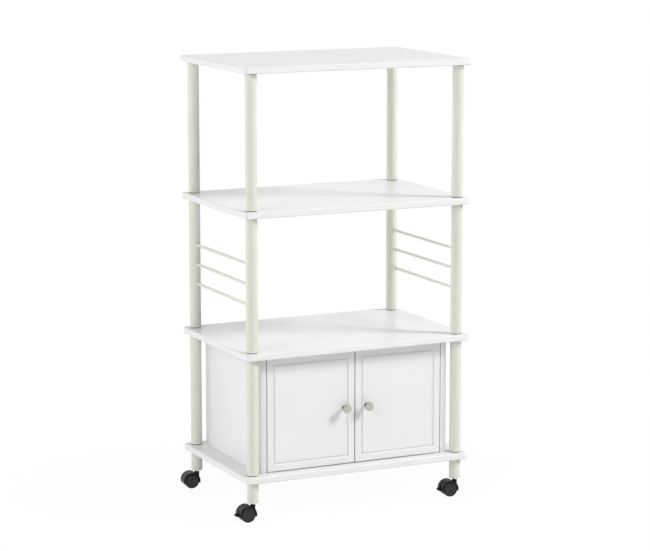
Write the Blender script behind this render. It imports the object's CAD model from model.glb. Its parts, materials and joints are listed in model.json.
"""Looks of a kitchen cart on casters: lacquered shelves and doors, powder-coated tube posts, nickel
knobs, and black nylon casters, in a plain white studio."""
import json
import math

import bpy
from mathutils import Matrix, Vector

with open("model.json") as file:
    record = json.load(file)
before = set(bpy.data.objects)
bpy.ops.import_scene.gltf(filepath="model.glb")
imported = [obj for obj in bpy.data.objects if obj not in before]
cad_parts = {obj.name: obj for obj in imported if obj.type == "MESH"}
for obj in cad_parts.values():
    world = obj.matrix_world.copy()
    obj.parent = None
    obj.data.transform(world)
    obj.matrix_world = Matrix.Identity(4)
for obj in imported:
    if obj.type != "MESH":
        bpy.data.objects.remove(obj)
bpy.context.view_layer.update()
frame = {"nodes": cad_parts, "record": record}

NODES = frame["nodes"]
MM = 0.001

# The camera: its place in the cart's frame, its heading and dip, its lens and sensor in millimetres,
# and how far it sees
CAMERA_PLACE = (-2.52407, -5.28042, 1.57511)
CAMERA_YAW = math.radians(25.551)
CAMERA_PITCH = math.radians(9.942)
CAMERA_LENS = 132.85
SENSOR_WIDTH = 36.0
CAMERA_REACH = 200.0

# Place, width, height and power of each softbox. They all face the cart's middle.
CART_MIDDLE = Vector((0.0, 0.0, 0.55))
SOFTBOXES = {
    "key": ((4.62, -3.38, 4.5), 1.8, 1.8, 398.0),
    "back": ((0.0, 6.36, 1.9), 3.0, 3.6, 60.0),
    "left_back": ((-5.51, 3.18, 1.9), 2.6, 3.6, 84.0),
    "left": ((-6.38, -0.56, 1.68), 2.6, 3.6, 14.0),
    "left_front": ((-5.54, -3.2, 1.68), 2.6, 3.6, 64.0),
    "left_high": ((-5.06, -2.92, 3.4), 2.6, 3.6, 124.0),
}
# Strength of the ambient light, against 1 for the background that the camera sees
AMBIENT = 0.375
# Dark parts of the studio: direction, cosines between which it gets dark, and the share of light that
# is left there. The first is on the camera's side. The second, for the ambient light alone, is on the
# side that the key light comes from.
DARK_FRONT = ((-0.431, -0.902, 0.0), 0.35, 0.9, 0.15)
DARK_RIGHT = ((1.0, 0.1, 0.0), 0.1, 0.75, 0.6)

# The floor: half its side, its paint, and the distances from the middle between which it fades from
# the first share of pure white to the second
FLOOR_HALF = 30.0
FLOOR_PAINT = (0.85, 0.85, 0.85, 1.0)
FLOOR_FADE = (0.25, 1.1, 0.95, 1.0)

# Where the back of the knobs' discs lies, along Y
KNOB_DISC_BACK = -186 * MM

# The sockets of a Map Range node: the range it reads and the range it gives
RANGE_SOCKETS = ("From Min", "From Max", "To Min", "To Max")


class Finish:
    """A material under construction: a Principled shader and the nodes that vary it."""

    def __init__(self, name, colour, roughness, **sockets):
        self.material = bpy.data.materials.new(name)
        self.material.use_nodes = True
        self.tree = self.material.node_tree
        self.tree.nodes.clear()
        self.shader = self.node("ShaderNodeBsdfPrincipled")
        output = self.node("ShaderNodeOutputMaterial")
        self.link(self.shader.outputs["BSDF"], output.inputs["Surface"])
        self.shader.inputs["Base Color"].default_value = (*colour, 1.0)
        self.shader.inputs["Roughness"].default_value = roughness
        for socket, value in sockets.items():
            self.shader.inputs[socket.replace("_", " ")].default_value = value
        self.place = self.node("ShaderNodeTexCoord").outputs["Object"]

    def node(self, kind, **settings):
        made = self.tree.nodes.new(kind)
        for name, value in settings.items():
            setattr(made, name, value)
        return made

    def link(self, source, target):
        self.tree.links.new(source, target)

    def stretched(self, scale):
        """Object coordinates scaled by another amount along each axis."""
        mapping = self.node("ShaderNodeMapping")
        mapping.inputs["Scale"].default_value = scale
        self.link(self.place, mapping.inputs["Vector"])
        return mapping.outputs["Vector"]

    def noise(self, scale, detail=2.0, roughness=0.5, place=None):
        """Noise from 0 to 1, with about scale features in a metre."""
        made = self.node("ShaderNodeTexNoise")
        made.inputs["Scale"].default_value = scale
        made.inputs["Detail"].default_value = detail
        made.inputs["Roughness"].default_value = roughness
        self.link(place or self.place, made.inputs["Vector"])
        return made.outputs["Fac"]

    def spread(self, value, low, high, clip=(0.3, 0.7)):
        """The value's range clip, stretched to the range from low to high."""
        made = self.node("ShaderNodeMapRange")
        for socket, number in zip(RANGE_SOCKETS, (*clip, low, high)):
            made.inputs[socket].default_value = number
        self.link(value, made.inputs["Value"])
        return made.outputs["Result"]

    def axis(self, name):
        """One of the object coordinates, in metres."""
        made = self.node("ShaderNodeSeparateXYZ")
        self.link(self.place, made.inputs["Vector"])
        return made.outputs[name]

    def colours(self, value, low, high):
        """Base colour between low, where the value is 0, and high, where it is 1. Each of the two is
        a colour or what this returned for another pair."""
        made = self.node("ShaderNodeMix", data_type="RGBA")
        for socket, colour in (("A", low), ("B", high)):
            if isinstance(colour, tuple):
                made.inputs[socket].default_value = (*colour, 1.0)
            else:
                self.link(colour, made.inputs[socket])
        self.link(value, made.inputs["Factor"])
        self.link(made.outputs["Result"], self.shader.inputs["Base Color"])
        return made.outputs["Result"]

    def rough(self, value):
        self.link(value, self.shader.inputs["Roughness"])

    def bump(self, height, distance):
        """Relief from the height, a value from 0 to 1, over the given distance in metres."""
        made = self.node("ShaderNodeBump")
        made.inputs["Strength"].default_value = 1.0
        made.inputs["Distance"].default_value = distance
        self.link(height, made.inputs["Height"])
        self.link(made.outputs["Normal"], self.shader.inputs["Normal"])


def white_lacquer():
    """Sprayed lacquer: a faint cloudiness, and the fine ripple that spraying leaves."""
    made = Finish("white_lacquer", (0.777, 0.78, 0.778), 0.3, IOR=1.5)
    cloud = made.spread(made.noise(5.0, 3.0), 0.0, 1.0)
    made.colours(cloud, (0.766, 0.77, 0.77), (0.787, 0.789, 0.787))
    made.rough(made.spread(made.noise(12.0, 3.0), 0.29, 0.36))
    made.bump(made.noise(160.0, 1.0), 0.000012)
    return made.material


def cream_powder_coat():
    """Powder coat on steel tube: a fine pebbled relief."""
    made = Finish("cream_powder_coat", (0.685, 0.7, 0.618), 0.38, IOR=1.5)
    cloud = made.spread(made.noise(9.0, 3.0), 0.0, 1.0)
    made.colours(cloud, (0.673, 0.688, 0.605), (0.698, 0.712, 0.631))
    made.rough(made.spread(made.noise(40.0, 3.0), 0.32, 0.42))
    made.bump(made.noise(700.0, 1.0), 0.00001)
    return made.material


def black_nylon(name, low, high, shine):
    """Moulded nylon with a fine spark-eroded grain, a little greyer where it is rubbed."""
    made = Finish(name, low, 0.42, IOR=1.5, Specular_IOR_Level=shine)
    patches = made.spread(made.noise(120.0, 4.0, 0.6), 0.0, 1.0)
    made.colours(patches, low, high)
    made.rough(made.spread(made.noise(300.0, 3.0), 0.36, 0.52))
    made.bump(made.noise(2600.0, 2.0), 0.00003)
    return made.material


def black_plastic():
    """Moulded plastic of the tubes' plugs and the casters' sockets."""
    made = Finish("black_plastic", (0.03, 0.03, 0.03), 0.5, IOR=1.5)
    patches = made.spread(made.noise(200.0), 0.0, 1.0)
    made.colours(patches, (0.024, 0.024, 0.024), (0.04, 0.04, 0.04))
    made.bump(made.noise(1800.0, 2.0), 0.00003)
    return made.material


def white_plastic():
    """Moulded plastic of the hinges' bushes and the magnet catch."""
    made = Finish("white_plastic", (0.76, 0.76, 0.73), 0.4, IOR=1.5)
    patches = made.spread(made.noise(80.0), 0.0, 1.0)
    made.colours(patches, (0.74, 0.74, 0.71), (0.78, 0.78, 0.75))
    made.bump(made.noise(2000.0, 2.0), 0.00003)
    return made.material


def satin_nickel():
    """Brushed nickel, tarnished on the neck, where polishing doesn't reach behind the disc."""
    made = Finish("satin_nickel", (0.57, 0.57, 0.52), 0.3, Metallic=1.0)
    patches = made.spread(made.noise(300.0), 0.0, 1.0)
    bright = made.colours(patches, (0.53, 0.53, 0.485), (0.61, 0.61, 0.565))
    behind = made.spread(made.axis("Y"), 0.0, 1.0, clip=(KNOB_DISC_BACK - MM, KNOB_DISC_BACK + MM))
    made.colours(behind, bright, (0.05, 0.05, 0.046))
    brushed = made.noise(900.0, 2.0, place=made.stretched((1.0, 6.0, 1.0)))
    made.rough(made.spread(brushed, 0.29, 0.4))
    made.bump(brushed, 0.00002)
    return made.material


def zinc():
    """Zinc plating with a patchy shine, on the steel fittings."""
    made = Finish("zinc", (0.62, 0.64, 0.66), 0.32, Metallic=1.0)
    patches = made.spread(made.noise(500.0, 3.0), 0.0, 1.0)
    made.colours(patches, (0.52, 0.54, 0.57), (0.68, 0.7, 0.72))
    made.rough(made.spread(made.noise(700.0, 3.0), 0.29, 0.44))
    made.bump(made.noise(1500.0), 0.00002)
    return made.material


def magnet():
    """Ground ferrite."""
    made = Finish("ground_ferrite", (0.05, 0.05, 0.055), 0.45)
    patches = made.spread(made.noise(900.0, 4.0), 0.0, 1.0)
    made.colours(patches, (0.04, 0.04, 0.045), (0.07, 0.07, 0.075))
    made.bump(made.noise(2400.0, 3.0), 0.00004)
    return made.material


def beech():
    """Plain beech with its grain along Z."""
    made = Finish("beech", (0.5, 0.33, 0.17), 0.6)
    grain = made.noise(260.0, 4.0, 0.6, place=made.stretched((1.0, 1.0, 0.08)))
    made.colours(made.spread(grain, 0.0, 1.0), (0.42, 0.26, 0.13), (0.6, 0.42, 0.24))
    made.bump(grain, 0.0001)
    return made.material


def finish_nodes():
    """Gives every CAD node the finish of its slot in the record. The casters' hoods and brake levers
    are of a duller black than the wheels."""
    nylon = black_nylon("black_nylon", (0.013, 0.013, 0.014), (0.024, 0.024, 0.026), 0.38)
    dull_nylon = black_nylon("dull_black_nylon", (0.006, 0.006, 0.007), (0.014, 0.014, 0.015), 0.28)
    finishes = {"white_lacquer": white_lacquer(), "cream_paint": cream_powder_coat(),
                "black_nylon": nylon, "black_plastic": black_plastic(),
                "white_plastic": white_plastic(), "satin_nickel": satin_nickel(),
                "zinc": zinc(), "magnet": magnet(), "beech": beech()}
    for part in frame["record"]["subparts"]:
        name = part["node"]
        is_cover = name.startswith(("caster_hood", "brake_lever"))
        for slot in NODES[name].material_slots:
            slot.material = dull_nylon if is_cover else finishes[part["material_slot"]]


def faded(tree, value, start, end, first, last):
    """Goes smoothly from first to last while the value goes from start to end."""
    made = tree.nodes.new("ShaderNodeMapRange")
    made.interpolation_type = "SMOOTHSTEP"
    for socket, number in zip(RANGE_SOCKETS, (start, end, first, last)):
        made.inputs[socket].default_value = number
    tree.links.new(value, made.inputs["Value"])
    return made.outputs["Result"]


def mixed(tree, factor, first, second):
    """Number between two others, each a socket or a plain value."""
    made = tree.nodes.new("ShaderNodeMix")
    tree.links.new(factor, made.inputs["Factor"])
    for socket, value in (("A", first), ("B", second)):
        if isinstance(value, float):
            made.inputs[socket].default_value = value
        else:
            tree.links.new(value, made.inputs[socket])
    return made.outputs["Result"]


def product(tree, first, second):
    """Product of two numbers, each a socket or a plain value."""
    made = tree.nodes.new("ShaderNodeMath")
    made.operation = "MULTIPLY"
    for socket, value in zip(made.inputs, (first, second)):
        if isinstance(value, float):
            socket.default_value = value
        else:
            tree.links.new(value, socket)
    return made.outputs["Value"]


def seen_ray(tree, path):
    """1 for a camera, glossy or transmission ray."""
    seen = path.outputs["Is Camera Ray"]
    for kind in ("Is Glossy Ray", "Is Transmission Ray"):
        larger = tree.nodes.new("ShaderNodeMath")
        larger.operation = "MAXIMUM"
        tree.links.new(seen, larger.inputs[0])
        tree.links.new(path.outputs[kind], larger.inputs[1])
        seen = larger.outputs["Value"]
    return seen


def darkened(tree, part):
    """Brightness of the studio by direction: 1, and less in the given dark part."""
    direction, start, end, left = part
    place = tree.nodes.new("ShaderNodeTexCoord")
    facing = tree.nodes.new("ShaderNodeVectorMath")
    facing.operation = "DOT_PRODUCT"
    facing.inputs[1].default_value = direction
    tree.links.new(place.outputs["Generated"], facing.inputs[0])
    return faded(tree, facing.outputs["Value"], start, end, 1.0, left)


def studio_world():
    """White behind everything that a camera ray meets, and soft ambient light from a studio with dark
    parts."""
    world = bpy.data.worlds.new("studio")
    bpy.context.scene.world = world
    world.use_nodes = True
    tree = world.node_tree
    tree.nodes.clear()
    path = tree.nodes.new("ShaderNodeLightPath")
    walls = darkened(tree, DARK_FRONT)
    ambient = product(tree, product(tree, walls, darkened(tree, DARK_RIGHT)), AMBIENT)
    seen = mixed(tree, path.outputs["Is Glossy Ray"], ambient, walls)
    for kind in ("Is Transmission Ray", "Is Camera Ray"):
        seen = mixed(tree, path.outputs[kind], seen, 1.0)
    background = tree.nodes.new("ShaderNodeBackground")
    background.inputs["Color"].default_value = (1.0, 1.0, 1.0, 1.0)
    tree.links.new(seen, background.inputs["Strength"])
    output = tree.nodes.new("ShaderNodeOutputWorld")
    tree.links.new(background.outputs["Background"], output.inputs["Surface"])


def studio_floor():
    """Pale floor that fades into the white background and keeps the cart's shadow."""
    half = FLOOR_HALF
    mesh = bpy.data.meshes.new("floor")
    mesh.from_pydata([(-half, -half, 0), (half, -half, 0), (half, half, 0), (-half, half, 0)], [],
                     [(0, 1, 2, 3)])
    floor = bpy.data.objects.new("floor", mesh)
    bpy.context.scene.collection.objects.link(floor)
    material = bpy.data.materials.new("floor")
    material.use_nodes = True
    tree = material.node_tree
    tree.nodes.clear()
    paint = tree.nodes.new("ShaderNodeBsdfDiffuse")
    paint.inputs["Color"].default_value = FLOOR_PAINT
    white = tree.nodes.new("ShaderNodeEmission")
    white.inputs["Strength"].default_value = 1.0
    place = tree.nodes.new("ShaderNodeTexCoord")
    away = tree.nodes.new("ShaderNodeVectorMath")
    away.operation = "LENGTH"
    tree.links.new(place.outputs["Object"], away.inputs[0])
    seen = seen_ray(tree, tree.nodes.new("ShaderNodeLightPath"))
    share = product(tree, faded(tree, away.outputs["Value"], *FLOOR_FADE), seen)
    mix = tree.nodes.new("ShaderNodeMixShader")
    tree.links.new(share, mix.inputs["Fac"])
    tree.links.new(paint.outputs["BSDF"], mix.inputs[1])
    tree.links.new(white.outputs["Emission"], mix.inputs[2])
    output = tree.nodes.new("ShaderNodeOutputMaterial")
    tree.links.new(mix.outputs["Shader"], output.inputs["Surface"])
    mesh.materials.append(material)


def studio_lights():
    """Softboxes, which neither the camera nor a reflection shows."""
    for name, (place, width, height, power) in SOFTBOXES.items():
        light = bpy.data.lights.new(name, "AREA")
        light.shape = "RECTANGLE"
        light.size = width
        light.size_y = height
        light.energy = power
        box = bpy.data.objects.new(name, light)
        box.location = place
        box.rotation_euler = (CART_MIDDLE - box.location).to_track_quat("-Z", "Y").to_euler()
        box.visible_camera = False
        box.visible_glossy = False
        bpy.context.scene.collection.objects.link(box)


def studio_camera():
    """The photo's side and distance, without a shift of the lens."""
    camera = bpy.data.cameras.new("camera")
    camera.sensor_fit = "HORIZONTAL"
    camera.sensor_width = SENSOR_WIDTH
    camera.lens = CAMERA_LENS
    camera.clip_end = CAMERA_REACH
    holder = bpy.data.objects.new("camera", camera)
    holder.location = CAMERA_PLACE
    holder.rotation_euler = (math.pi / 2 - CAMERA_PITCH, 0.0, -CAMERA_YAW)
    bpy.context.scene.collection.objects.link(holder)
    bpy.context.scene.camera = holder


bpy.context.scene.view_settings.view_transform = "Standard"
finish_nodes()
studio_camera()
studio_world()
studio_floor()
studio_lights()
